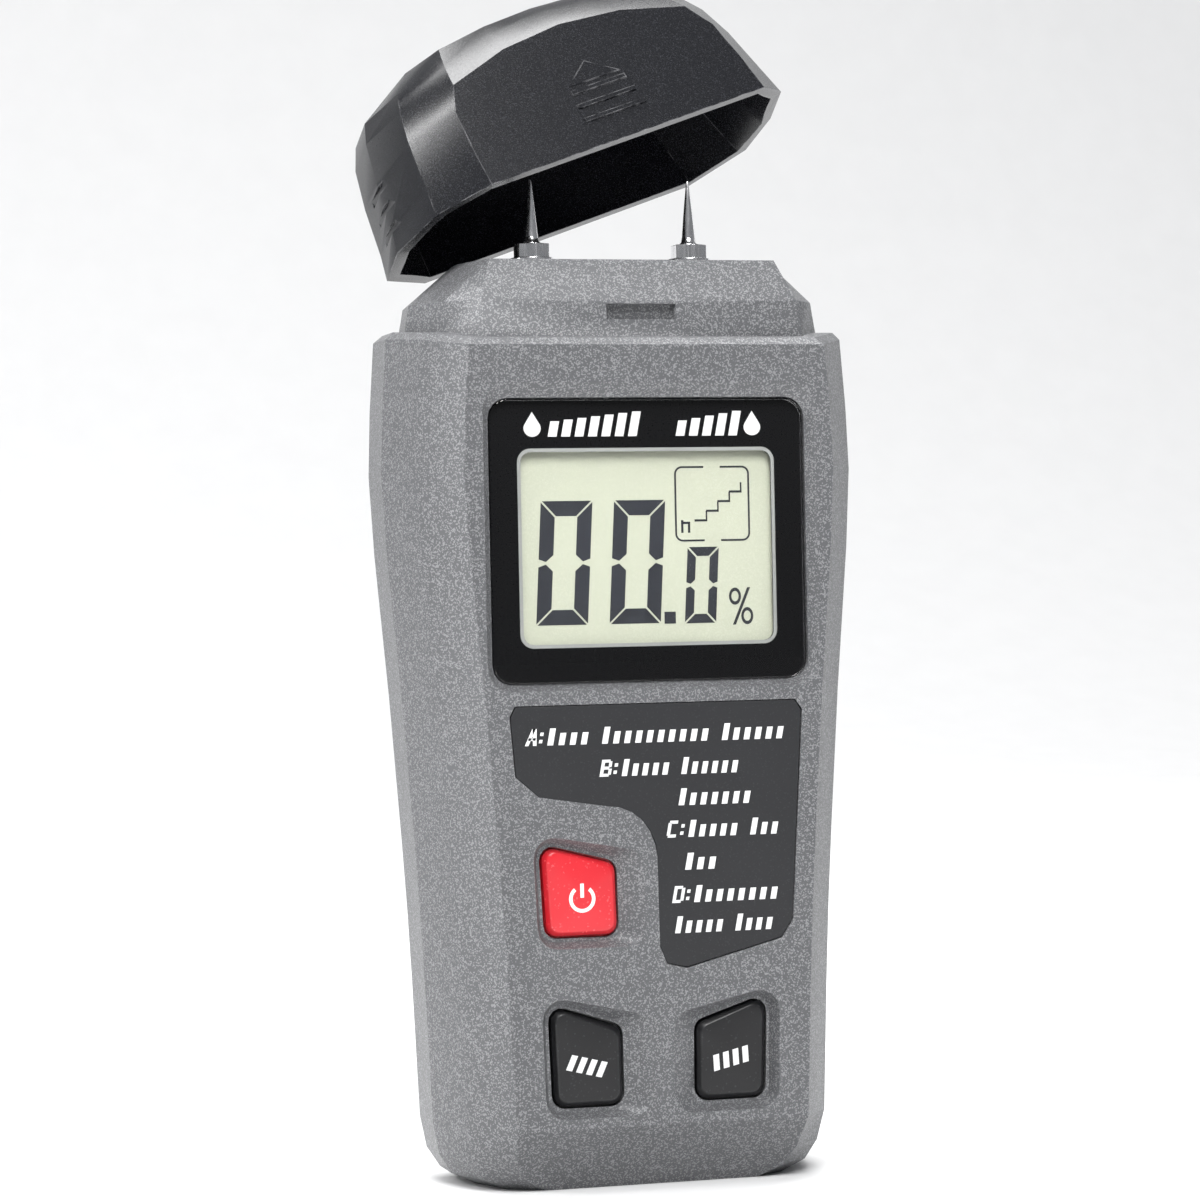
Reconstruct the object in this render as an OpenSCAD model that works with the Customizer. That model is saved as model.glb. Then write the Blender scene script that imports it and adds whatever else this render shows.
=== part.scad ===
// Two-pin handheld wood moisture meter, standing upright.
// +Z runs from the base to the probe pins, the front face looks along -Y.
// The origin is at the centre of the base. All sizes are in millimetres.

/* [Case] */
// Height of the shoulder that the cap closes onto
shoulder_z = 106.5; // [100:0.5:112]
// Distance from the middle plane to the front face
front_y = 14; // [13.5:0.1:15]
// Distance from the middle plane to the back face
back_y = 14; // [13.8:0.1:15]
// Wall thickness of the two shells
wall = 2.2; // [2:0.1:2.4]
// Width of the case at its widest point
case_w = 62; // [60:0.5:64]
// Depth of the plane where the two shells meet
parting_y = 1; // [0.5:0.1:1.5]

/* [Collar and cap] */
// Height of the collar above the shoulder
collar_h = 10.2; // [9.5:0.1:11]
// Half of the collar's width at the shoulder
collar_half_w = 27.8; // [27:0.1:28.2]
// Height of the cap
cap_h = 23.4; // [23.3:0.1:25]
// Thickness of the cap's wall
cap_wall = 1.5; // [1.3:0.1:1.6]
// Tilt of the open cap about X, in degrees
cap_tilt = 24; // [18:1:26]
// Roll of the open cap about Y, in degrees
cap_roll = 21.5; // [16:0.5:24]
// Turn of the open cap about Z, in degrees
cap_turn = 7.75; // [4:0.25:8]

/* [Display] */
// Width of the visible display window
window_w = 33; // [30:0.5:35]
// Height of the visible display window
window_h = 24; // [22:0.5:26]
// Height of the window's centre above the base
window_z = 80.3; // [79:0.1:82]

/* [Probe pins] */
// Distance between the two pins
pin_spacing = 21.2; // [20:0.1:24]
// Length of each needle above its nut
needle_len = 8.4; // [7:0.2:8.4]
// Radius of each needle at its foot
needle_r = 0.95; // [0.8:0.05:1.1]

/* [Buttons] */
// Travel of each button
button_travel = 0.8; // [0.5:0.05:0.8]
// Gap between a button and its opening
button_gap = 0.3; // [0.2:0.05:0.4]

/* [Battery] */
// Length of the battery's body
battery_l = 46; // [45:0.5:46.5]
// Width of the battery
battery_w = 26.2; // [25:0.1:26.5]
// Thickness of the battery
battery_t = 17.4; // [17:0.1:17.5]
// Travel of the battery door
door_travel = 9; // [6:0.5:9]

/* [Hidden] */
$fn = 48;
eps = 0.01;

GREY = [0.45, 0.46, 0.48];
BLACK = [0.07, 0.07, 0.08];
DARK = [0.2, 0.2, 0.22];
STEEL = [0.75, 0.75, 0.76];
BRASS = [0.78, 0.62, 0.3];

// Case outline: half width at the parting plane, at a few heights.
bottom_bevel_h = 8;
case_stations = [[bottom_bevel_h, case_w / 2 - 5.1], [34, case_w / 2 - 4],
                 [62, case_w / 2 - 2.1], [90, case_w / 2], [shoulder_z, case_w / 2 - 1]];
chamfer_in = 2.3;     // side to chamfer, in X
chamfer_y = 6;        // chamfer depth from the front face
flat_in = 6.7;        // side to front flat, in X
back_in = 5.6;        // side to back flat, in X
flank_rise = 1.6;     // how much higher the shoulder is on the flanks

// Stack from front to back.
lens_y = -front_y + 1.2;
lens_t = 1;
mask_t = 0.2;
seat_y = lens_y + lens_t + mask_t;
panel_back_y = -11;
board_y = -8;
board_t = 1.2;
tray_y = -6.6;
tray_t = 0.6;
battery_y = tray_y + tray_t + 0.2;
battery_mid_y = battery_y + battery_t / 2;
battery_z = 11.3;
door_y = 12.5;
door_half_w = 15.6;
door_z = [10.6, 62];
bay = [13.9, 11, 62.6];   // half width, low end, high end

collar_top_z = shoulder_z + collar_h;
pin_x = pin_spacing / 2;
nut_z = collar_top_z + 0.5;
needle_z = nut_z + 2.2;
lens_box = [20.7, 63.4, 98.9];
case_screw_at = [[-17, 7.4], [17, 7.4], [-21.3, 100.2], [21.3, 100.2]];
board_screw_at = [[-18.5, 28], [18.5, 28], [-18.5, 59], [18.5, 59]];

power_outline = [[-15, 43.4], [-5.4, 40.8], [-5.2, 32], [-14.4, 32]];
mode_outline = [[-14.2, 23.4], [-5, 20.3], [-4.9, 10.8], [-13.8, 10.8]];
hold_outline = [for (i = [3:-1:0]) [-mode_outline[i][0], mode_outline[i][1]]];
button_outlines = [power_outline, mode_outline, hold_outline];
button_y = -front_y + 1;

// The cap turns about one line, placed so that it first rises straight off the collar.
cap_spin = [-cap_tilt, -cap_roll, cap_turn];
cap_angle = norm(cap_spin);
cap_axis = cap_spin / cap_angle;
cap_rise = 21.6 * [0.1, 0.02, 1];
cap_centre = [0, 0, shoulder_z + 0.5];
cap_pivot = cap_centre - cross(cap_rise, cap_axis) / (cap_angle * PI / 180);
lip_z = shoulder_z + 0.5;

// ---- shared functions and shapes ----

// Smooth curve through stations [[z, value], ...], flat outside them.
function slope(s, i) = let (a = max(i - 1, 0), b = min(i + 1, len(s) - 1))
    (s[b][1] - s[a][1]) / (s[b][0] - s[a][0]);
function curve(s, z, i = 0) =
    z <= s[0][0] ? s[0][1] :
    i >= len(s) - 1 ? s[len(s) - 1][1] :
    z > s[i + 1][0] ? curve(s, z, i + 1) :
    let (h = s[i + 1][0] - s[i][0], t = (z - s[i][0]) / h)
        (2 * t * t * t - 3 * t * t + 1) * s[i][1] + (t * t * t - 2 * t * t + t) * h * slope(s, i)
        + (3 * t * t - 2 * t * t * t) * s[i + 1][1] + (t * t * t - t * t) * h * slope(s, i + 1);

// How far the outline pulls in near the base and at the shoulder's edge.
function base_in(z) = let (t = max(0, bottom_bevel_h - z) / bottom_bevel_h) 1 - sqrt(1 - t * t);
function edge_in(z) = max(0, z - (shoulder_z - 0.9));
function side_w(z) = curve(case_stations, z) - 5.4 * base_in(z) - edge_in(z);

// Half rings of the case at height z, inset by the distance d.
function lifted(z, k) = z + flank_rise * k * max(0, min(1, (z - 97) / (shoulder_z - 0.9 - 97)));
function front_ring(z, d = 0) = let (w = side_w(z),
    bevel = 5 * max(0, bottom_bevel_h - z) / bottom_bevel_h, y = -front_y + bevel + edge_in(z) + d,
    c = min(-front_y + chamfer_y + bevel * 0.4 + d * 0.5, -4)) [
    [-(w - d * 1.08), parting_y, lifted(z, 1)], [-(w - chamfer_in - d * 1.04), c, lifted(z, 0.6)],
    [-(w - flat_in - d * 0.65), y, z], [w - flat_in - d * 0.65, y, z],
    [w - chamfer_in - d * 1.04, c, lifted(z, 0.6)], [w - d * 1.08, parting_y, lifted(z, 1)]];
function rear_ring(z, d = 0) = let (w = side_w(z),
    y = back_y - 2.5 * base_in(z) - edge_in(z) - d, h = lifted(z, 1)) [
    [w - d * 1.08, parting_y, h], [w - 0.4 - d * 1.05, y - 5 + d * 0.5, h], [w - back_in - d * 0.6, y, h],
    [-(w - back_in - d * 0.6), y, h], [-(w - 0.4 - d * 1.05), y - 5 + d * 0.5, h], [-(w - d * 1.08), parting_y, h]];

// Half rings of the collar: it leans in a little, then closes to a narrower top.
collar_z = [shoulder_z - 2, shoulder_z, shoulder_z + 4.9, collar_top_z];
function collar_ring(k, side, d = 0) = let (
    w = [collar_half_w + 0.2, collar_half_w, collar_half_w - 0.8, 20.6][k] - d * 1.06,
    f = [21.3, 21.3, 20.8, 18.9][k] - d * 0.5, y = [11.7, 11.6, 11.1, 8.2][k] - d,
    c = min(w - 0.4, [25, 25, 24.4, 19.9][k] - d * 0.9),
    b = min(w - 0.3, [26.9, 26.8, 26, 20.2][k] - d), z = collar_z[k]) side < 0
    ? [[-w, parting_y, z], [-c, -y + 4.6, z], [-f, -y, z], [f, -y, z], [c, -y + 4.6, z], [w, parting_y, z]]
    : [[w, parting_y, z], [b, y - 3.4, z], [f, y + 0.2, z], [-f, y + 0.2, z], [-b, y - 3.4, z], [-w, parting_y, z]];

// Solid through a stack of rings that each run counter-clockwise seen from above.
// ends lists the flat strips that close a ring, by point number.
HALF_ENDS = [[0, 1, 4, 5], [1, 2, 3, 4]];
FULL_ENDS = [[1, 2, 3, 4], [0, 1, 4, 5], [9, 0, 5, 6], [8, 9, 6, 7]];
module loft(rings, ends = HALF_ENDS) {
    n = len(rings[0]);
    last = (len(rings) - 1) * n;
    polyhedron(points = [for (r = rings) each r], convexity = 6, faces = concat(
        ends, [for (e = ends) [for (i = [len(e) - 1:-1:0]) last + e[i]]],
        [for (k = [0:len(rings) - 2], i = [0:n - 1]) let (a = k * n, j = (i + 1) % n) [a + i, a + n + i, a + n + j]],
        [for (k = [0:len(rings) - 2], i = [0:n - 1]) let (a = k * n, j = (i + 1) % n) [a + i, a + n + j, a + j]]));
}

// Corner arcs for a convex outline listed clockwise or counter-clockwise.
function unit(v) = v / norm(v);
function rounded(p, r, steps = 4) = [for (i = [0:len(p) - 1]) let (
    a = unit(p[(i + len(p) - 1) % len(p)] - p[i]), b = unit(p[(i + 1) % len(p)] - p[i]),
    half = acos(a * b) / 2, centre = p[i] + unit(a + b) * r / sin(half),
    t0 = p[i] + a * r / tan(half), t1 = p[i] + b * r / tan(half), span = 180 - 2 * half)
    for (s = [0:steps]) let (u = unit(t0 - centre), v = unit(t1 - centre), q = s / steps * span)
        centre + r * (sin(span - q) * u + sin(q) * v) / sin(span)];
// Convex outline moved outward by d, before rounding.
function mid(p) = [for (k = [0, 1]) (max([for (q = p) q[k]]) + min([for (q = p) q[k]])) / 2];
function grown(p, d) = let (c = mid(p)) [for (q = p) q + [sign(q[0] - c[0]) * d, sign(q[1] - c[1]) * d]];

// Prism of a front-view outline between two depths.
module slab(points, y0, y1) {
    translate([0, y1, 0]) rotate([90, 0, 0]) linear_extrude(height = y1 - y0) polygon(points);
}
function rect(half_w, z0, z1) = [[-half_w, z0], [half_w, z0], [half_w, z1], [-half_w, z1]];
module box(x0, x1, y0, y1, z0, z1) { translate([x0, y0, z0]) cube([x1 - x0, y1 - y0, z1 - z0]); }
module rod_y(x, z, r, y0, y1) { translate([x, y0, z]) rotate([-90, 0, 0]) cylinder(r = r, h = y1 - y0); }
module rod_z(x, y, r, z0, z1) { translate([x, y, z0]) cylinder(r = r, h = z1 - z0); }

// Round wire along a list of points.
module wire(p, r) {
    for (i = [0:len(p) - 2]) hull() for (q = [p[i], p[i + 1]]) translate(q) sphere(r = r, $fn = 12);
}

// ---- case ----

ring_z = [0, 1.5, 4, bottom_bevel_h, 16, 25, 34, 43.5, 53, 62, 71, 80, 90, 98, shoulder_z - 0.9, shoulder_z];
inner_z = concat([2.6, 5], [for (z = ring_z) if (z > 6 && z < 100) z], [shoulder_z - 2.4]);

module dish(outline, side) {
    // The finger scoop is wider on the side towards the middle of the case.
    reach = [for (q = grown(outline, 1.5)) q[0] * side < mid(outline)[0] * side ? q - [2 * side, 0] : q];
    hull() {
        slab(rounded(reach, 2.6), -front_y - 0.2, -front_y + 0.05);
        slab(rounded(grown(outline, 0.7), 1.9), -front_y + 1.5, -front_y + 1.7);
    }
}

module label_outline(gap, y0, y1) {
    slab([for (q = label_points) q * 1 + unit(q - mid(label_points)) * gap], y0, y1);
}
// Outline of the species label: a broad top and a narrow tail on the right.
label_bend = [for (t = [0:15:90]) [-6.6 + 6.4 * sin(t), 41.6 + 6.4 * cos(t)]];
label_points = concat([[-19, 59.4], [-18.3, 60.7], [18.4, 60.7], [19.3, 59.4], [17.6, 33], [16, 30.8],
    [3.4, 27.6], [0.8, 28.2], [-0.1, 30.4]], [for (i = [6:-1:0]) label_bend[i]], [[-15.4, 49.4], [-18.4, 52]]);

module front_shell() color(GREY) difference() {
    union() {
        difference() {
            union() {
                loft([for (z = ring_z) front_ring(z)]);
                loft([for (k = [0:3]) collar_ring(k, -1)]);
            }
            loft([for (z = inner_z) front_ring(z, wall)]);
            difference() {
                loft([for (k = [0:3]) collar_ring(k, -1, wall)]);
                box(-40, 40, -20, 20, collar_top_z - wall, collar_top_z + 1);
            }
        }
        box(-22.4, 22.4, -12.2, panel_back_y, lens_box[1] - 1.4, 101.2);
        for (o = button_outlines) slab(grown(o, 2.2), -12.4, -11.4);
        for (p = case_screw_at) rod_y(p[0], p[1], 2.3, p[1] < 50 ? -9.5 : -12.2, -1);
        for (p = board_screw_at) rod_y(p[0], p[1], 2.1, -12.2, board_y);
    }
    // Display: bevelled recess, lens seat and window.
    hull() {
        slab(rounded(rect(21.8, 62.5, 100.8), 3.2), -front_y - 0.2, -front_y);
        slab(rounded(rect(lens_box[0] + 0.2, lens_box[1] - 0.2, lens_box[2] + 0.2), 2.6), lens_y - 0.1, lens_y);
    }
    slab(rounded(rect(lens_box[0] + 0.15, lens_box[1] - 0.15, lens_box[2] + 0.15), 2.6), lens_y - 0.2, seat_y);
    slab(rect(window_w / 2 + 1, window_z - window_h / 2 - 1, window_z + window_h / 2 + 1), seat_y - 1.2, panel_back_y + 1);
    label_outline(0.15, -front_y - 1, -front_y + 0.55);
    dish(power_outline, -1);
    dish(mode_outline, -1);
    dish(hold_outline, 1);
    for (o = button_outlines) slab(rounded(grown(o, button_gap), 1.7), -front_y, -8);
    // Notch in the collar that the cap's bead clicks into.
    box(-4.6, 4.6, -13, -10, shoulder_z + 2.4, shoulder_z + 4.4);
    for (p = case_screw_at) rod_y(p[0], p[1], 1.15, -7, 0);
    for (p = board_screw_at) rod_y(p[0], p[1], 0.95, -11.4, -7);
    for (s = [-1, 1]) rod_z(s * pin_x, parting_y, 2.9, collar_top_z - 5, collar_top_z + 1);
}

module rear_shell() color(GREY) difference() {
    union() {
        difference() {
            union() {
                loft([for (z = ring_z) rear_ring(z)]);
                loft([for (k = [0:3]) collar_ring(k, 1)]);
            }
            loft([for (z = inner_z) rear_ring(z, wall)]);
            difference() {
                loft([for (k = [0:3]) collar_ring(k, 1, wall)]);
                box(-40, 40, -20, 20, collar_top_z - wall, collar_top_z + 1);
            }
        }
        box(-bay[0] - 1.3, bay[0] + 1.3, tray_y, 13, bay[1] - 1.2, bay[2] + 1.2);
        for (s = [-1, 1]) box(min(s * 15, s * 18.4), max(s * 15, s * 18.4), 10.5, 13.6, 5, 58.5);
        for (p = case_screw_at) rod_y(p[0], p[1], 2.7, -0.8, 12.2);
    }
    // Battery bay, its rear opening and the door's seat and tracks.
    box(-bay[0], bay[0], tray_y + tray_t, 14.5, bay[1], bay[2]);
    box(-door_half_w - 0.25, door_half_w + 0.25, door_y - 0.1, 15, -1, door_z[1] + 0.3);
    for (s = [-1, 1]) box(min(s * 15, s * 16.7), max(s * 15, s * 16.7), door_y - 0.1, 13.5, 15.5 - door_travel, 56.6);
    box(-6, 6, tray_y - 1, tray_y + 2, 60.2, 62.3);
    for (p = case_screw_at) {
        rod_y(p[0], p[1], 1.3, -2, 14);
        rod_y(p[0], p[1], 2.5, 10.6, 16);
    }
    for (s = [-1, 1]) rod_z(s * pin_x, parting_y, 2.9, collar_top_z - 5, collar_top_z + 1);
}

module battery_door() color(GREY) difference() {
    union() {
        box(-door_half_w, door_half_w, door_y, back_y, door_z[0], door_z[1]);
        for (s = [-1, 1]) box(min(s * 15, s * 16.4), max(s * 15, s * 16.4), door_y, 13.3, 16, 56);
    }
    // Grip: an arrow and three grooves near the upper end.
    translate([0, 14.5, 45]) rotate([90, 0, 0]) linear_extrude(height = 1) polygon([[-3.6, 2.6], [3.6, 2.6], [0, -1.6]]);
    for (i = [0:2]) box(-7, 7, back_y - 0.5, back_y + 1, 49.5 + 2.6 * i, 50.7 + 2.6 * i);
}

module door_pad() color(DARK) box(-8, 8, door_y - 0.6, door_y, 22, 50);

module case_screws() color(STEEL) for (p = case_screw_at) difference() {
    union() {
        rod_y(p[0], p[1], 1.1, -6.5, 11);
        rod_y(p[0], p[1], 2.2, 10.7, 12.3);
    }
    for (a = [0, 90]) translate([p[0], 12, p[1]]) rotate([0, a, 0]) cube([2.6, 1.2, 0.6], center = true);
}

// ---- display ----

module display_lens() color([0.1, 0.1, 0.12, 0.4])
    slab(rounded(rect(lens_box[0], lens_box[1], lens_box[2]), 2.5, 8), lens_y, lens_y + lens_t);

module lens_mask() color(BLACK) difference() {
    slab(rounded(rect(lens_box[0], lens_box[1], lens_box[2]), 2.5), lens_y + lens_t, seat_y);
    slab(rounded(rect(window_w / 2, window_z - window_h / 2, window_z + window_h / 2), 1.3), lens_y, 0);
}

module lcd_glass() color([0.75, 0.79, 0.68]) box(-19.3, 19.3, -10.9, -9, 65, 96.2);

module lcd_holder() color([0.9, 0.9, 0.88]) difference() {
    box(-20.8, 20.8, -10.9, board_y, 63.6, 97.4);
    box(-19.4, 19.4, -12, -7, 64.9, 96.3);
}

module zebra_strips() color([0.9, 0.55, 0.65]) for (z = [65.3, 94.2]) box(-18, 18, -9, board_y, z, z + 1.7);

module species_label() color(DARK) label_outline(0, -front_y + 0.05, -front_y + 0.55);

// ---- buttons ----

module button(outline) {
    stem = mid(outline);
    hull() {
        slab(rounded(outline, 1.4), -12.4, -11.3);
        slab(rounded(grown(outline, -0.5), 1.2), button_y, button_y + 0.1);
    }
    slab(rounded(grown(outline, 0.9), 1.4), -11.3, -10.7);
    rod_y(stem[0], stem[1], 1.6, -10.8, -10.55);
}
module power_button() color([0.85, 0.1, 0.14]) button(power_outline);
module mode_button() color(BLACK) button(mode_outline);
module hold_button() color(BLACK) button(hold_outline);

// ---- electronics ----

module main_board() color([0.1, 0.4, 0.2]) difference() {
    slab([[-19, 10.4], [19, 10.4], [20, 14], [20, 98], [-20, 98], [-20, 14]], board_y, board_y + board_t);
    for (p = board_screw_at) rod_y(p[0], p[1], 1, board_y - 1, board_y + 3);
}

module tact_switches() color(DARK) for (o = button_outlines) let (c = mid(o)) {
    box(c[0] - 3, c[0] + 3, -9.4, board_y, c[1] - 3, c[1] + 3);
    rod_y(c[0], c[1], 1.5, -9.65, -9);
}

module circuit_parts() color(BLACK) {
    y = board_y + board_t;
    box(-7, 5, y, y + 1.6, 82, 92);
    box(-16, -10, y, y + 1.4, 70, 75);
    for (i = [0:4]) box(-17, -15, y, y + 0.7, 79 + 3.2 * i, 80.2 + 3.2 * i);
    for (i = [0:3]) box(9 + 2.6 * i, 10.4 + 2.6 * i, y, y + 0.7, 90, 92.2);
    rod_y(-2, 73, 3.2, y, y + 5.5);
}

module buzzer() color(BLACK) difference() {
    rod_y(12, 76, 6, board_y + board_t, board_y + board_t + 3.4);
    rod_y(12, 76, 0.9, board_y + board_t + 2, board_y + board_t + 4);
}

module board_screws() color(STEEL) for (p = board_screw_at) difference() {
    union() {
        rod_y(p[0], p[1], 0.9, -11.2, -6.5);
        rod_y(p[0], p[1], 1.8, board_y + board_t, board_y + board_t + 1);
    }
    translate([p[0], board_y + board_t + 1, p[1]]) cube([2.6, 0.8, 0.5], center = true);
}

// ---- probes ----

module electrode_block() color([0.85, 0.82, 0.74]) difference() {
    union() {
        box(-15.5, 15.5, -5.5, 7.5, shoulder_z - 1.8, collar_top_z - wall - 0.3);
        box(-18.5, 18.5, -3, 5, shoulder_z - 1.8, shoulder_z + 1.5);
    }
    for (s = [-1, 1]) rod_z(s * pin_x, parting_y, 2.55, 90, 130);
}

module pin_sockets() color(BRASS) for (s = [-1, 1]) difference() {
    rod_z(s * pin_x, parting_y, 2.5, shoulder_z - 2.6, nut_z);
    rod_z(s * pin_x, parting_y, 1.25, shoulder_z + 1, nut_z + 1);
}

module pin(s) color(STEEL) {
    rod_z(s * pin_x, parting_y, 1.2, shoulder_z + 1.5, needle_z + 0.3);
    translate([s * pin_x, parting_y, needle_z]) cylinder(r1 = needle_r, r2 = 0.12, h = needle_len);
}
module left_pin() pin(-1);
module right_pin() pin(1);

module pin_nut(s) color(STEEL) difference() {
    union() {
        rod_z(s * pin_x, parting_y, 2.75, nut_z, nut_z + 0.4);
        translate([s * pin_x, parting_y, nut_z + 0.3]) rotate(30) cylinder(r = 2.35, h = 1.9, $fn = 6);
    }
    rod_z(s * pin_x, parting_y, 1.25, nut_z - 1, nut_z + 4);
}
module left_pin_nut() pin_nut(-1);
module right_pin_nut() pin_nut(1);

// A lead's last point lies this far off the face it is soldered to.
lead_end = 0.56;
module electrode_leads() color([0.8, 0.1, 0.1]) for (s = [-1, 1])
    wire([[s * pin_x, parting_y, shoulder_z - 2.6 - lead_end], [s * pin_x, parting_y, shoulder_z - 5],
          [s * (pin_x - 1.5), -3.4, 97], [s * (pin_x - 2), -4.6, 95.4], [s * (pin_x - 2), board_y + board_t + lead_end, 95.4]], 0.55);

// ---- battery ----

module battery() color([0.12, 0.14, 0.2])
    slab(rounded(rect(battery_w / 2, battery_z, battery_z + battery_l), 1), battery_y, battery_y + battery_t);

module battery_terminals() color(STEEL) {
    top = battery_z + battery_l;
    rod_z(-6.35, battery_mid_y, 2.8, top, top + 1.9);
    translate([6.35, battery_mid_y, top]) cylinder(r = 3.6, h = 1.9, $fn = 6);
}

module battery_snap() color(BLACK) difference() {
    box(-12.4, 12.4, battery_mid_y - 6.4, battery_mid_y + 6.4, battery_z + battery_l + 0.9, battery_z + battery_l + 3);
    rod_z(-6.35, battery_mid_y, 2.95, 50, battery_z + battery_l + 2.1);
    rod_z(6.35, battery_mid_y, 3.75, 50, battery_z + battery_l + 2.1);
}

module battery_leads() color([0.75, 0.1, 0.1]) for (s = [-1, 1]) let (top = battery_z + battery_l + 3)
    wire([[s * 3, 0, top + lead_end], [s * 3, 0, top + 0.8], [s * 3, -4.6, top + 0.8],
          [s * 3, board_y + board_t + lead_end, top + 0.8]], 0.55);

// ---- cap ----

// Rings of the cap from its lip up to its crown: half-widths and heights above the lip
// of the side, the front corner, the front edge and the middle. The lip follows the shoulder.
cap_side = [[29.9, flank_rise], [28.8, 5], [27.2, 11.8], [25.7, 17.2], [24.3, 20], [20.5, 22]];
cap_corner = [[27.3, flank_rise * 0.6], [26.5, 5], [25.3, 11.5], [23.9, 16], [22.4, 18.9], [19.2, 21.8]];
cap_edge = [[21.4, 0], [21, 5], [20.2, 11], [18.2, 14.9], [16.8, 18.6], [15, 22]];
cap_middle = [0, 5, 12.6, 18.2, 21.4, 23.4];
cap_rear_w = [29, 28, 26.6, 25.1, 23.7, 20];
cap_depth = [13.7, 13.45, 13.1, 12.75, 10.9, 8.8];
cap_corner_y = [8, 7.95, 7.8, 7.5, 6.8, 5.6];
// A width at ring k; the lowest ring of a cavity that runs down past the lip follows the walls' slope.
function cap_width(list, k, drop) = list[k] + (list[0] - list[1]) * drop / 5;
// One ring, inset by d on the sides and by d of the crown's height at the top.
function cap_ring(k, d, drop) = let (q = d / cap_h, sink = lip_z - drop,
    w = cap_width([for (v = cap_side) v[0]], k, drop) - d, c = cap_width([for (v = cap_corner) v[0]], k, drop) - d * 0.9,
    f = cap_width([for (v = cap_edge) v[0]], k, drop) - d * 0.2, b = cap_width(cap_rear_w, k, drop) - d,
    y = cap_width(cap_depth, k, drop) - d, g = cap_corner_y[k] - d * 0.5, rise = k == 0 ? flank_rise : 0,
    zw = sink + cap_side[k][1] * (1 - q), zc = sink + cap_corner[k][1] * (1 - q),
    zf = sink + cap_edge[k][1] * (1 - q), zm = sink + cap_middle[k] * (1 - q), zq = zm * 0.75 + zf * 0.25) [
    [-w, parting_y, zw], [-c, -g, zc], [-f, -y, zf], [-f / 2, -y, zq], [0, -y, zm], [f / 2, -y, zq], [f, -y, zf],
    [c, -g, zc], [w, parting_y, zw], [b, g + 0.6, zw], [f, y + 0.2, zf + rise], [f / 2, y + 0.2, zq + rise],
    [0, y + 0.2, zm + rise], [-f / 2, y + 0.2, zq + rise], [-f, y + 0.2, zf + rise], [-b, g + 0.6, zw]];
CAP_ENDS = [[0, 1, 15], [1, 2, 14], [1, 14, 15], [2, 3, 13, 14], [3, 4, 12, 13], [4, 5, 11, 12], [5, 6, 10, 11],
    [6, 7, 10], [7, 9, 10], [7, 8, 9]];
module cap_solid(d, drop) loft([for (k = [0:5]) cap_ring(k, d, k == 0 ? drop : 0)], CAP_ENDS);

// The cap as it sits when closed.
module cap_closed() {
    difference() {
        cap_solid(0, 0);
        cap_solid(cap_wall, 4);
        // Side grip grooves.
        for (s = [-1, 1], i = [0:2]) let (z = lip_z + 5 + 2.8 * i)
            translate([s * (28.8 - 0.235 * (z - lip_z - 5)), parting_y - 1, z]) cube([0.9, 10, 1], center = true);
    }
    // Raised grip lines and arrow on the front.
    for (i = [0:2]) let (z = lip_z + 4 + 2.1 * i, y = -13.7 + 1.4 * (z - lip_z) / cap_h)
        box(-4.7 + 0.25 * i, 4.7 - 0.25 * i, y - 0.3, y + 0.4, z - 0.3, z + 0.3);
    slab([[-4, lip_z + 9.2], [4, lip_z + 9.2], [0, lip_z + 12]], -13.35, -12.6);
    // Catch tongue inside the rear wall.
    box(-4.2, 4.2, 11.2, 12.6, lip_z + 12, lip_z + 13.2);
}

module cap() color(BLACK)
    translate(cap_pivot) rotate(a = cap_angle, v = cap_axis) translate(-cap_pivot) cap_closed();

front_shell();
rear_shell();
battery_door();
door_pad();
case_screws();
display_lens();
lens_mask();
lcd_glass();
lcd_holder();
zebra_strips();
species_label();
power_button();
mode_button();
hold_button();
main_board();
tact_switches();
circuit_parts();
buzzer();
board_screws();
electrode_block();
left_pin();
right_pin();
left_pin_nut();
right_pin_nut();
pin_sockets();
electrode_leads();
battery();
battery_terminals();
battery_snap();
battery_leads();
cap();
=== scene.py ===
"""Pin-type moisture meter: the finished looks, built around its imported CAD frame.

Every length is in metres in the frame's own axes. Sizes that a maker would read in millimetres are
written as such and turned into metres with MM.
"""
import functools
import logging
import math
from dataclasses import dataclass
from enum import Enum

import bmesh
import bpy
from mathutils import Matrix, Vector


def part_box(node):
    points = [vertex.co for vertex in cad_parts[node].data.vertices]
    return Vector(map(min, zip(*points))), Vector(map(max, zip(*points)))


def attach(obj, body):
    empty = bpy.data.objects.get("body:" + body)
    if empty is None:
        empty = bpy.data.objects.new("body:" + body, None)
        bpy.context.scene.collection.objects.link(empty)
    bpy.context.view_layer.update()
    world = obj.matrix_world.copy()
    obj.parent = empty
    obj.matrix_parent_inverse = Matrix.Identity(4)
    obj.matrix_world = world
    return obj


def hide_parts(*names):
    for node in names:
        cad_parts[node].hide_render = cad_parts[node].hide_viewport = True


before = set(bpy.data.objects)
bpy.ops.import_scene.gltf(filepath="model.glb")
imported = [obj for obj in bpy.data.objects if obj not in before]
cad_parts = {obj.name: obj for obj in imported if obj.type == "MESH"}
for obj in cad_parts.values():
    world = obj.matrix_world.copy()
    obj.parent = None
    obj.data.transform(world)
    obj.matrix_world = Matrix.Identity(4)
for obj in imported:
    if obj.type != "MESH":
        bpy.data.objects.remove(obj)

MM = 0.001
# Cosine below which a neighbouring edge counts as carrying straight on.
STRAIGHT_ON = -0.85
# A fold sharper than this many degrees keeps a hard line where it can't be rounded.
CREASE = 32.0
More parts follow.
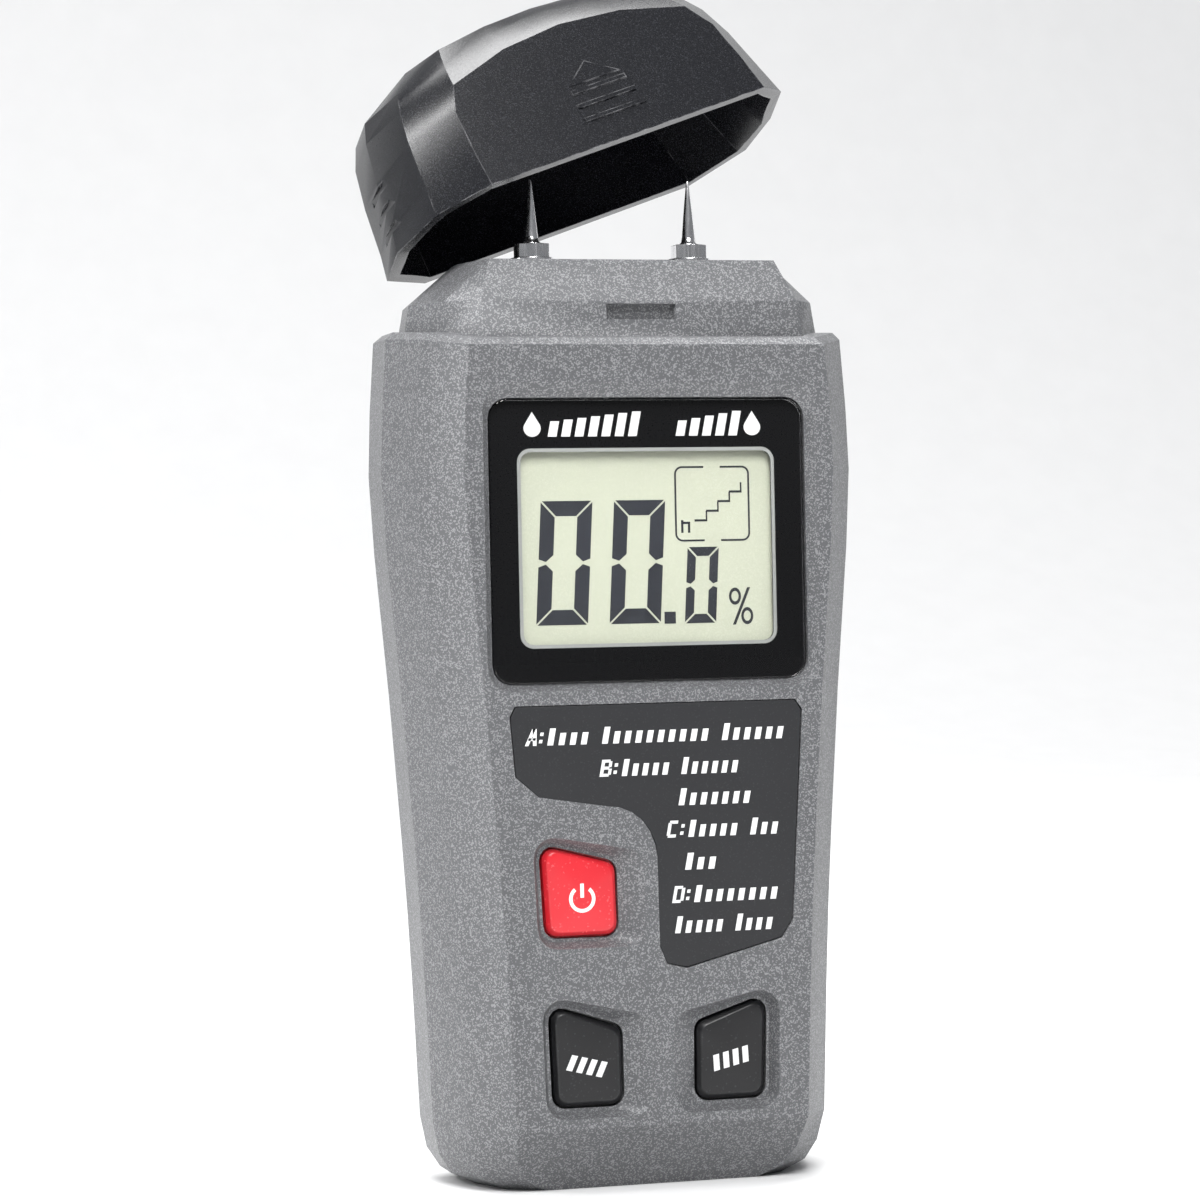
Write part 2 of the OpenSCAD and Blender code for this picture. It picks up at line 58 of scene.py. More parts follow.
# How many widths of rounding a neighbour needs when it is rounded too, and when it isn't.
ROOM_BESIDE_FOLD, ROOM_BESIDE_FLAT = 2.3, 1.15
DUST_COLOUR = (0.55, 0.54, 0.52)
LOG = logging.getLogger("moisture_meter")
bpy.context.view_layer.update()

Colour = tuple[float, float, float]
Point = tuple[float, float]
Outline = list[Point]
Socket = bpy.types.NodeSocket
Box = tuple[float, float, float, float]


class Body(Enum):
    """The moving bodies of the meter."""

    CASE = "case"
    POWER = "power_button"
    MODE = "mode_button"
    HOLD = "hold_button"
    DOOR = "battery_door"
    CAP = "cap"


class Rounding(Enum):
    """How far an edge is rounded off, in millimetres."""

    MOULDED = 0.55
    CAP = 0.5
    BUTTON = 0.38
    CRISP = 0.22
    FINE = 0.1


# ---- shading ----


class Graph:
    """A node tree with short calls that add and join nodes."""

    def __init__(self, tree: bpy.types.NodeTree) -> None:
        """Works on one node tree."""
        self.tree = tree

    def add(self, kind: str, sockets: dict | None = None, **settings: object) -> bpy.types.Node:
        """Adds a node.

        Args:
            kind: the node's Blender type.
            sockets: input name or number, to a plain value or to the output that feeds it.
            settings: the node's own properties.

        Returns:
            The new node.
        """
        node = self.tree.nodes.new(kind)
        for key, value in settings.items():
            setattr(node, key, value)
        for key, value in (sockets or {}).items():
            if isinstance(value, bpy.types.NodeSocket):
                self.tree.links.new(value, node.inputs[key])
            else:
                node.inputs[key].default_value = value
        return node

    def math(self, operation: str, *values: float | Socket) -> Socket:
        """Gives the result of one clamped sum on values or sockets."""
        node = self.add("ShaderNodeMath", dict(enumerate(values)), operation=operation, use_clamp=True)
        return node.outputs[0]

    def blend(self, mask: Socket, low: Colour | Socket, high: Colour | Socket) -> Socket:
        """Mixes two colours by a mask.

        Args:
            mask: 0 for the first colour, 1 for the second.
            low: the first colour, or the output that gives it.
            high: the second.

        Returns:
            The mixed colour.
        """
        colours = [(*c, 1.0) if isinstance(c, tuple) else c for c in (low, high)]
        node = self.add("ShaderNodeMix", {0: mask, 6: colours[0], 7: colours[1]}, data_type="RGBA")
        return node.outputs[2]

    def span(self, value: Socket, source: Point, target: Point) -> Socket:
        """Maps a value from one range to another, clamped.

        Args:
            value: the value.
            source: the range that it comes in.
            target: the range that it goes out in.

        Returns:
            The mapped value.
        """
        names = ("From Min", "From Max", "To Min", "To Max")
        node = self.add("ShaderNodeMapRange", {"Value": value, **dict(zip(names, (*source, *target)))})
        return node.outputs["Result"]


class Effect:
    """A shader node group that several finishes share."""

    def __init__(self, name: str, inputs: dict[str, float], outputs: tuple[str, ...]) -> None:
        """Makes the group with a Vector input and the named ones.

        Args:
            name: the group's name.
            inputs: each number input with its usual value.
            outputs: the masks and values that it puts out.
        """
        self.group = bpy.data.node_groups.new(name, "ShaderNodeTree")
        face = self.group.interface
        face.new_socket("Vector", in_out="INPUT", socket_type="NodeSocketVector")
        for label, usual in inputs.items():
            face.new_socket(label, in_out="INPUT", socket_type="NodeSocketFloat").default_value = usual
        for label in outputs:
            face.new_socket(label, in_out="OUTPUT", socket_type="NodeSocketFloat")
        self.graph = Graph(self.group)
        self.given = self.graph.add("NodeGroupInput").outputs
        self.result = self.graph.add("NodeGroupOutput").inputs

    def put(self, label: str, value: bpy.types.NodeSocket) -> None:
        """Joins a value to one of the group's outputs."""
        self.group.links.new(value, self.result[label])


@functools.cache
def grain_effect() -> bpy.types.NodeTree:
    """Builds the fine grain of paint and moulded plastic.

    Returns:
        The group: Grain for height, Fleck where a bright fleck lies, Cloud for broad unevenness.
    """
    effect = Effect("fine_grain", {"Scale": 5000.0, "Fleck Share": 0.1}, ("Grain", "Fleck", "Cloud"))
    graph, given = effect.graph, effect.given
    noise = graph.add("ShaderNodeTexNoise", {
        "Vector": given["Vector"], "Scale": given["Scale"], "Detail": 2.0})
    cells = graph.add("ShaderNodeTexVoronoi", {"Vector": given["Vector"], "Scale": given["Scale"]})
    chance = graph.add("ShaderNodeSeparateColor", {0: cells.outputs["Color"]}).outputs[0]
    over = graph.math("SUBTRACT", given["Fleck Share"], chance)
    broad = graph.add("ShaderNodeTexNoise", {"Vector": given["Vector"], "Scale": 60.0, "Detail": 3.0})
    effect.put("Grain", noise.outputs[0])
    effect.put("Fleck", graph.span(over, (0.0, 0.04), (0.0, 1.0)))
    effect.put("Cloud", graph.span(broad.outputs[0], (0.3, 0.7), (0.0, 1.0)))
    return effect.group


@functools.cache
def wear_and_highlight_effect() -> bpy.types.NodeTree:
    """Builds lighter edges: rubbed wear where hands and pockets touch, and on the cap mostly a painted
    highlight on the lip and raised grip lines.

    Returns:
        The group: one edge mask for rubbed wear and painted highlight, broken up by noise.
    """
    effect = Effect("edge_wear_and_highlight", {"Reach": 0.4 * MM, "Amount": 0.5}, ("Wear And Highlight",))
    graph, given = effect.graph, effect.given
    rounded = graph.add("ShaderNodeBevel", {"Radius": given["Reach"]}, samples=4)
    true = graph.add("ShaderNodeNewGeometry").outputs["Normal"]
    dot = graph.add("ShaderNodeVectorMath", {0: rounded.outputs[0], 1: true}, operation="DOT_PRODUCT")
    edge = graph.span(dot.outputs["Value"], (0.995, 0.9), (0.0, 1.0))
    patchy = graph.add("ShaderNodeTexNoise", {"Vector": given["Vector"], "Scale": 420.0, "Detail": 4.0})
    broken = graph.span(patchy.outputs[0], (0.42, 0.62), (0.0, 1.0))
    effect.put("Wear And Highlight", graph.math("MULTIPLY", graph.math("MULTIPLY", edge, broken), given["Amount"]))
    return effect.group


@functools.cache
def dust_effect() -> bpy.types.NodeTree:
    """Builds the faint dust that settles on faces turned upwards.

    Returns:
        The group: Dusty, highest on level faces.
    """
    effect = Effect("settled_dust", {"Amount": 0.15}, ("Dusty",))
    graph, given = effect.graph, effect.given
    normal = graph.add("ShaderNodeNewGeometry").outputs["Normal"]
    up = graph.add("ShaderNodeSeparateXYZ", {0: normal}).outputs["Z"]
    specks = graph.add("ShaderNodeTexNoise", {"Vector": given["Vector"], "Scale": 900.0, "Detail": 5.0})
    scattered = graph.span(specks.outputs[0], (0.45, 0.75), (0.1, 1.0))
    level = graph.span(up, (0.35, 1.0), (0.0, 1.0))
    effect.put("Dusty", graph.math("MULTIPLY", graph.math("MULTIPLY", level, scattered), given["Amount"]))
    return effect.group


@functools.cache
def hairline_effect() -> bpy.types.NodeTree:
    """Builds fine handling lines on polished metal and clear plastic.

    Returns:
        The group: Line, drawn out along the height.
    """
    effect = Effect("hairlines", {"Scale": 2500.0}, ("Line",))
    graph, given = effect.graph, effect.given
    drawn = graph.add("ShaderNodeVectorMath", {0: given["Vector"], 1: (1.0, 1.0, 0.04)}, operation="MULTIPLY")
    noise = graph.add("ShaderNodeTexNoise", {
        "Vector": drawn.outputs[0], "Scale": given["Scale"], "Detail": 3.0})
    effect.put("Line", noise.outputs[0])
    return effect.group


@dataclass(frozen=True)
class Finish:
    """A painted, moulded, printed or metal finish."""

    name: str
    slot: str
    colour: Colour
    fleck_colour: Colour = (0.5, 0.5, 0.5)
    # Colour that edges lighten towards: rubbed wear on most finishes, painted highlight on the cap's lip and
    # grip lines.
    wear_and_highlight_colour: Colour = (0.45, 0.45, 0.46)
    fleck_share: float = 0.0
    roughness: Point = (0.4, 0.5)
    metallic: float = 0.0
    grain_scale: float = 5000.0
    grain_height: float = 0.0
    unevenness: float = 0.12
    # Strength and reach of the lighter edges: rubbed wear, and on the cap mostly a painted highlight.
    wear_and_highlight: float = 0.0
    wear_and_highlight_reach: float = 0.4 * MM
    dust: float = 0.0
    coat: float = 0.0
    coat_roughness: float = 0.1
    drawn: bool = False

    @functools.cache
    def material(self) -> bpy.types.Material:
        """Builds the finish once.

        Returns:
            The material, with its colour, roughness and bump driven by the shared effects.
        """
        made = bpy.data.materials.new(self.name)
        made.use_nodes = True
        made.node_tree.nodes.clear()
        graph = Graph(made.node_tree)
        place = graph.add("ShaderNodeTexCoord").outputs["Object"]
        grain = self.effect(graph, grain_effect(), place, {
            "Scale": self.grain_scale, "Fleck Share": self.fleck_share})
        deep = tuple(c * (1.0 - self.unevenness) for c in self.colour)
        bright = tuple(c * (1.0 + self.unevenness) for c in self.colour)
        colour = graph.blend(grain["Cloud"], deep, bright)
        if self.fleck_share:
            colour = graph.blend(grain["Fleck"], colour, self.fleck_colour)
        # Lighter edges: rubbed wear, and on the cap mostly a painted highlight on the lip and raised grip
        # lines.
        if self.wear_and_highlight:
            wear_and_highlight_outputs = self.effect(graph, wear_and_highlight_effect(), place, {"Reach": self.wear_and_highlight_reach, "Amount": self.wear_and_highlight})
            colour = graph.blend(wear_and_highlight_outputs["Wear And Highlight"], colour, self.wear_and_highlight_colour)
        if self.dust:
            dusty = self.effect(graph, dust_effect(), place, {"Amount": self.dust})["Dusty"]
            colour = graph.blend(dusty, colour, DUST_COLOUR)
        marks = grain["Grain"]
        if self.drawn:
            marks = self.effect(graph, hairline_effect(), place, {"Scale": self.grain_scale})["Line"]
        shader = graph.add("ShaderNodeBsdfPrincipled", {
            "Base Color": colour, "Metallic": self.metallic,
            "Roughness": graph.span(marks, (0.3, 0.7), self.roughness),
            "Coat Weight": self.coat, "Coat Roughness": self.coat_roughness,
        })
        if self.grain_height:
            bump = graph.add("ShaderNodeBump", {
                "Height": marks, "Distance": self.grain_height, "Strength": 1.0})
            made.node_tree.links.new(bump.outputs[0], shader.inputs["Normal"])
        graph.add("ShaderNodeOutputMaterial", {"Surface": shader.outputs[0]})
        return made

    def effect(self, graph: Graph, group: bpy.types.NodeTree, place: bpy.types.NodeSocket,
               values: dict[str, float]) -> bpy.types.bpy_prop_collection:
        """Places a shared effect in the material.

        Args:
            graph: the material's graph.
            group: the effect's node group.
            place: the coordinates that it runs on.
            values: this finish's own settings.

        Returns:
            The placed effect's outputs.
        """
        node = graph.add("ShaderNodeGroup", node_tree=group)
        graph.tree.links.new(place, node.inputs["Vector"])
        for label, value in values.items():
            node.inputs[label].default_value = value
        return node.outputs


@dataclass(frozen=True)
class ClearLens:
    """Clear acrylic that lets light through to the display."""

    name: str = "clear_acrylic"
    slot: str = "lens"
    roughness: Point = (0.01, 0.05)

    @functools.cache
    def material(self) -> bpy.types.Material:
        """Builds clear plastic with faint hairlines that casts no shadow on the display.

        Returns:
            The material.
        """
        made = bpy.data.materials.new(self.name)
        made.use_nodes = True
        made.node_tree.nodes.clear()
        graph = Graph(made.node_tree)
        place = graph.add("ShaderNodeTexCoord").outputs["Object"]
        lines = graph.add("ShaderNodeGroup", node_tree=hairline_effect())
        graph.tree.links.new(place, lines.inputs["Vector"])
        rough = graph.span(lines.outputs["Line"], (0.4, 0.8), self.roughness)
        glass = graph.add("ShaderNodeBsdfPrincipled", {
            "Base Color": (1.0, 1.0, 1.0, 1.0), "Roughness": rough, "IOR": 1.49, "Transmission Weight": 1.0})
        clear = graph.add("ShaderNodeBsdfTransparent")
        shadow = graph.add("ShaderNodeLightPath").outputs["Is Shadow Ray"]
        both = graph.add("ShaderNodeMixShader", {0: shadow, 1: glass.outputs[0], 2: clear.outputs[0]})
        graph.add("ShaderNodeOutputMaterial", {"Surface": both.outputs[0]})
        return made


CASE_PAINT = Finish("gunmetal_fleck_paint", "case_paint", (0.105, 0.107, 0.113), (0.24, 0.243, 0.25),
                    (0.26, 0.26, 0.265), fleck_share=0.3, roughness=(0.34, 0.5), metallic=0.12,
                    grain_scale=6500.0, grain_height=0.016 * MM, unevenness=0.05, wear_and_highlight=0.2, dust=0.02)
# The cap's strong pale edge colour is mostly a painted highlight on its lip and raised grip lines, with some
# rubbed wear.
CAP_PLASTIC = Finish("black_satin_abs", "cap_plastic", (0.006, 0.0064, 0.0085), (0.02, 0.021, 0.025),
                     (0.3, 0.3, 0.31), fleck_share=0.12, roughness=(0.18, 0.3), grain_scale=6500.0,
                     grain_height=0.006 * MM, unevenness=0.06, wear_and_highlight=0.75, wear_and_highlight_reach=0.22 * MM)
LABEL_FILM = Finish("label_film", "label", (0.012, 0.0125, 0.0145), (0.022, 0.022, 0.025), fleck_share=0.08,
                    roughness=(0.38, 0.5), grain_scale=7000.0, grain_height=0.004 * MM)
BLACK_PRINT = Finish("back_printed_black", "black_print", (0.004, 0.004, 0.005), roughness=(0.25, 0.4))
WHITE_INK = Finish("white_ink", "label", (0.82, 0.82, 0.82), roughness=(0.45, 0.6), unevenness=0.04,
                   grain_height=0.002 * MM)
RED_RUBBER = Finish("red_coated_silicone", "red_button", (0.62, 0.012, 0.022), (0.8, 0.08, 0.09),
                    (0.75, 0.12, 0.12), fleck_share=0.05, roughness=(0.3, 0.42), grain_scale=5000.0,
                    grain_height=0.004 * MM,
                    wear_and_highlight=0.3, coat=0.25)
BLACK_RUBBER = Finish("black_satin_button", "black_button", (0.004, 0.004, 0.005), (0.02, 0.02, 0.023),
                      (0.2, 0.2, 0.21), fleck_share=0.05, roughness=(0.34, 0.46), grain_height=0.004 * MM,
                      wear_and_highlight=0.3)
NEEDLE_STEEL = Finish("hardened_needle_steel", "needle_steel", (0.9, 0.9, 0.91), roughness=(0.14, 0.3),
                      metallic=1.0, grain_scale=3000.0, unevenness=0.05, drawn=True, grain_height=0.002 * MM)
SCREW_STEEL = Finish("zinc_plated_steel", "screw_steel", (0.55, 0.55, 0.57), roughness=(0.2, 0.38),
                     metallic=1.0, unevenness=0.1, grain_height=0.004 * MM, wear_and_highlight=0.3)
BRASS = Finish("turned_brass", "brass", (0.72, 0.52, 0.22), roughness=(0.15, 0.3), metallic=1.0, drawn=True,
               grain_height=0.003 * MM)
LCD_GLASS = Finish("reflective_display", "lcd", (0.42, 0.44, 0.345), (0.445, 0.465, 0.37), fleck_share=0.3,
                   roughness=(0.3, 0.42), grain_scale=7000.0, unevenness=0.03)
LCD_INK = Finish("display_segments", "lcd", (0.004, 0.006, 0.012), roughness=(0.45, 0.6), unevenness=0.2)
WINDOW_TRIM = Finish("window_trim", "black_print", (0.3, 0.31, 0.3), roughness=(0.3, 0.45),
                     grain_height=0.002 * MM)
WHITE_PLASTIC = Finish("white_moulding", "white_plastic", (0.8, 0.8, 0.78), roughness=(0.4, 0.55),
                       grain_height=0.004 * MM)
SILICONE = Finish("pink_elastomer", "silicone", (0.8, 0.42, 0.52), roughness=(0.5, 0.65),
                  grain_height=0.006 * MM)
BOARD_MASK = Finish("green_solder_mask", "board", (0.02, 0.16, 0.06), (0.06, 0.3, 0.12), fleck_share=0.1,
                    roughness=(0.22, 0.35), grain_scale=1500.0, grain_height=0.003 * MM)
BLACK_MOULDING = Finish("black_moulding", "black_plastic", (0.03, 0.03, 0.033), roughness=(0.4, 0.6),
                        grain_height=0.006 * MM)
NYLON = Finish("natural_nylon", "block_plastic", (0.78, 0.74, 0.62), roughness=(0.4, 0.55),
               grain_height=0.005 * MM)
RED_WIRE = Finish("red_insulation", "wire_red", (0.55, 0.03, 0.03), roughness=(0.35, 0.5),
                  grain_height=0.004 * MM)
BATTERY_CAN = Finish("printed_battery_can", "battery_jacket", (0.06, 0.08, 0.14), (0.2, 0.22, 0.28),
                     fleck_share=0.05, roughness=(0.25, 0.38), metallic=0.6, wear_and_highlight=0.4,
                     grain_height=0.003 * MM)
FOAM = Finish("door_foam", "foam", (0.07, 0.07, 0.075), (0.02, 0.02, 0.02), fleck_share=0.3,
              roughness=(0.8, 0.95), grain_scale=2500.0, grain_height=0.12 * MM)
CLEAR_LENS = ClearLens()


# ---- making pieces ----


def add_piece(name: str, mesh: bpy.types.Mesh) -> bpy.types.Object:
    """Puts a mesh into the scene as a piece at the origin.

    Args:
        name: the piece's name.
        mesh: its mesh.

    Returns:
        The new piece.
    """
    piece = bpy.data.objects.new(name, mesh)
    bpy.context.scene.collection.objects.link(piece)
    return piece


def mesh_from(name: str, work: bmesh.types.BMesh, smooth: bool = True) -> bpy.types.Mesh:
    """Turns a finished bmesh into a mesh.

    Args:
        name: the mesh's name.
        work: the bmesh, which is freed.
        smooth: whether its faces shade smoothly.

    Returns:
        The new mesh.
    """
    bmesh.ops.recalc_face_normals(work, faces=work.faces)
    for face in work.faces:
        face.smooth = smooth
    mesh = bpy.data.meshes.new(name)
    work.to_mesh(mesh)
    work.free()
    return mesh


def settle(piece: bpy.types.Object, finish: Finish | ClearLens, body: Body, *nodes: str) -> bpy.types.Object:
    """Gives a piece its finish and its body, and hides the CAD nodes that it stands for.

    Args:
        piece: the piece, already in place.
        finish: what it is made of.
        body: the body that carries it.
        nodes: CAD nodes that it replaces.

    Returns:
        The piece.
    """
    piece.data.materials.clear()
    piece.data.materials.append(finish.material())
    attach(piece, body.value)
    if nodes:
        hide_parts(*nodes)
    LOG.info("%s: %s on %s", piece.name, finish.name, body.value)
    return piece


def has_room(edge: bmesh.types.BMEdge, folds: set[bmesh.types.BMEdge], width: float) -> bool:
    """Tells whether an edge can be rounded without running into a short neighbour.

    Args:
        edge: the folded edge.
        folds: every folded edge of the mesh.
        width: the rounding in metres.

    Returns:
        True where each neighbour that turns away is long enough.
    """
    for vert in edge.verts:
        along = (edge.other_vert(vert).co - vert.co).normalized()
        for other in vert.link_edges:
            away = other.other_vert(vert).co - vert.co
            if other is edge or along.dot(away.normalized()) < STRAIGHT_ON:
                continue
            if away.length < width * (ROOM_BESIDE_FOLD if other in folds else ROOM_BESIDE_FLAT):
                return False
    return True


def mark_folds(work: bmesh.types.BMesh, width: float, angle: float) -> None:
    """Gives a bevel weight to each folded edge that has room to be rounded.

    Args:
        work: the mesh.
        width: the rounding in metres.
        angle: the smallest fold in degrees that counts as an edge.
    """
    weight = work.edges.layers.float.new("bevel_weight_edge")
    folds = {e for e in work.edges if len(e.link_faces) == 2 and e.calc_face_angle() > math.radians(angle)}
    for edge in folds:
        roomy = has_room(edge, folds, width)
        edge[weight] = 1.0 if roomy else 0.0
        edge.smooth = roomy or edge.calc_face_angle() < math.radians(CREASE)


def round_edges(piece: bpy.types.Object, width: float) -> None:
    """Rounds a piece's marked edges and evens out its shading.

    Args:
        piece: the piece to round.
        width: the rounding in metres.
    """
    bevel = piece.modifiers.new("rounded_edges", "BEVEL")
    bevel.width = width
    bevel.segments = 4
    bevel.limit_method = "WEIGHT"
    bevel.miter_outer = "MITER_ARC"
    bevel.use_clamp_overlap = True
    evened = piece.modifiers.new("even_shading", "WEIGHTED_NORMAL")
    evened.weight = 80
    evened.keep_sharp = True


def softened(node: str, rounding: Rounding, angle: float = 24.0) -> bpy.types.Object:
    """Copies a CAD node, joins its flat faces and rounds its edges.

    Args:
        node: the CAD node.
        rounding: how far its edges are rounded.
        angle: the smallest fold in degrees that counts as an edge.

    Returns:
        The new piece.
    """
    work = bmesh.new()
    work.from_mesh(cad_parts[node].data)
    bmesh.ops.remove_doubles(work, verts=work.verts, dist=0.004 * MM)
    bmesh.ops.dissolve_limit(work, angle_limit=math.radians(0.35), verts=work.verts, edges=work.edges)
    mark_folds(work, rounding.value * MM, angle)
    piece = add_piece(f"{node}_finished", mesh_from(node, work))
    round_edges(piece, rounding.value * MM)
    weights = piece.data.attributes["bevel_weight_edge"].data
    LOG.info("%s: %d edges rounded", node, sum(1 for e in weights if e.value))
    return piece


def dress(node: str, finish: Finish | ClearLens) -> None:
    """Gives a CAD node that keeps its own shape a finish.

    Args:
        node: the CAD node.
        finish: what it is made of.
    """
    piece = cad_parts[node]
    for slot in piece.material_slots:
        slot.link = "OBJECT"
        slot.material = finish.material()
    LOG.info("%s: %s", node, finish.name)


def plates(name: str, outlines: list[Outline], front: float, back: float) -> bpy.types.Object:
    """Makes thin plates from outlines seen from the front.

    Args:
        name: the piece's name.
        outlines: each plate's corners (x, z) in metres, in order.
        front: the plates' lower y.
        back: their upper y.

    Returns:
        One piece that holds every plate.
    """
    work = bmesh.new()
    for outline in outlines:
        rings = [[work.verts.new((x, y, z)) for x, z in outline] for y in (front, back)]
        work.faces.new(rings[0])
        work.faces.new(rings[1][::-1])
        for i in range(len(outline)):
            j = (i + 1) % len(outline)
            work.faces.new((rings[0][i], rings[1][i], rings[1][j], rings[0][j]))
    return add_piece(name, mesh_from(name, work, smooth=False))


def lathe(name: str, profile: list[Point], centre: Vector, steps: int = 40) -> bpy.types.Object:
    """Turns a profile about an upright axis.

    Args:
        name: the piece's name.
        profile: (radius, height) pairs in metres from the foot to the tip.
        centre: a point on the axis; only x and y count.
        steps: faces around the axis.

    Returns:
        The turned piece.
    """
    work = bmesh.new()
    rings = []
    for radius, height in profile:
        turns = [math.tau * i / steps for i in range(steps)]
        rings.append([work.verts.new(
            (centre.x + radius * math.cos(a), centre.y + radius * math.sin(a), height)) for a in turns])
    for low, high in zip(rings, rings[1:]):
        for i in range(steps):
            j = (i + 1) % steps
            work.faces.new((low[i], low[j], high[j], high[i]))
    work.faces.new(rings[0][::-1])
    work.faces.new(rings[-1])
    return add_piece(name, mesh_from(name, work))


def scaled(outline: Outline, origin: Point, size: float, turn: float = 0.0, lean: float = 0.0) -> Outline:
    """Sizes, leans, turns and places an outline.

    Args:
        outline: corners in its own units.
        origin: where its zero goes, in metres.
        size: metres per unit.
        turn: degrees counter-clockwise.
        lean: sideways shift per unit of height.

    Returns:
        The placed outline in metres.
    """
    c, s = math.cos(math.radians(turn)), math.sin(math.radians(turn))
    out = []
    for u, v in outline:
        u += lean * v
        out.append((origin[0] + size * (u * c - v * s), origin[1] + size * (u * s + v * c)))
    return out


def bar(x: float, z: float, width: float, height: float) -> Outline:
    """Gives an upright bar's corners."""
    return [(x, z), (x + width, z), (x + width, z + height), (x, z + height)]


def arc_band(radius: float, band: float, start: float, end: float, steps: int = 32) -> list[Outline]:
    """Gives the small blocks that make part of a ring.

    Args:
        radius: the ring's outer radius.
        band: its width.
        start: first angle in degrees.
        end: last angle in degrees.
        steps: blocks along it.

    Returns:
        Four-cornered outlines about the origin.
    """
    out = []
    for i in range(steps):
        a, b = (math.radians(start + (end - start) * k / steps) for k in (i, i + 1))
        corners = ((radius, a), (radius, b), (radius - band, b), (radius - band, a))
        out.append([(r * math.cos(t), r * math.sin(t)) for r, t in corners])
    return out


def mirrored(outline: Outline, width: float) -> Outline:
    """Turns an outline left to right within a width."""
    return [(width - u, v) for u, v in outline]


def upturned(outline: Outline, height: float) -> Outline:
    """Turns an outline upside down within a height."""
    return [(u, height - v) for u, v in outline]


def ring_blocks(box: Box, line: float, radius: float, gap: float = 0.0) -> list[Outline]:
    """Gives the blocks that make a thin rounded frame.

    Args:
        box: its outer left, lower, right and upper edges.
        line: its width.
        radius: its outer corner radius.
        gap: how much stays open in the middle of the level sides.

    Returns:
        Four-cornered outlines.
    """
    x0, z0, x1, z1 = box
    run = (x1 - x0 - 2 * radius - gap) / 2
    out = []
    for z in (z0, z1 - line):
        out += [bar(x0 + radius, z, run, line), bar(x1 - radius - run, z, run, line)]
    for x in (x0, x1 - line):
        out.append(bar(x, z0 + radius, line, z1 - z0 - 2 * radius))
    for x, z, start in ((x1 - radius, z1 - radius, 0), (x0 + radius, z1 - radius, 90),
                        (x0 + radius, z0 + radius, 180), (x1 - radius, z0 + radius, 270)):
        out += [[(x + u, z + v) for u, v in block] for block in arc_band(radius, line, start, start + 90, 8)]
    return out


# ---- sub-assemblies ----


@dataclass
class Casework:
    """The two painted shells, their screws and the battery door."""

    mark_depth: float = 0.12 * MM
    mark_height: float = 0.05 * MM

    def build(self) -> None:
        """Builds and dresses every case piece."""
        for node in ("front_shell", "rear_shell"):
            settle(softened(node, Rounding.MOULDED), CASE_PAINT, Body.CASE, node)
        settle(softened("battery_door", Rounding.CRISP), CASE_PAINT, Body.DOOR, "battery_door")
        settle(softened("case_screws", Rounding.FINE), SCREW_STEEL, Body.CASE, "case_screws")
        dress("door_pad", FOAM)
        self.build_polarity_marks()

    def build_polarity_marks(self) -> None:
        """Adds the raised plus and minus signs on the battery door."""
        low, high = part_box("battery_door")
        middle, foot = (low.x + high.x) / 2, low.z + (high.z - low.z) * 0.28
        signs = [bar(-7.2, -0.5, 4.4, 1.0), bar(-5.5, -2.2, 1.0, 1.7), bar(-5.5, 0.5, 1.0, 1.7),
                 bar(2.8, -0.5, 4.4, 1.0)]
        outlines = [scaled(sign, (middle, foot), MM) for sign in signs]
        marks = plates("door_polarity_marks", outlines, high.y - self.mark_depth, high.y + self.mark_height)
        settle(marks, CASE_PAINT, Body.DOOR)


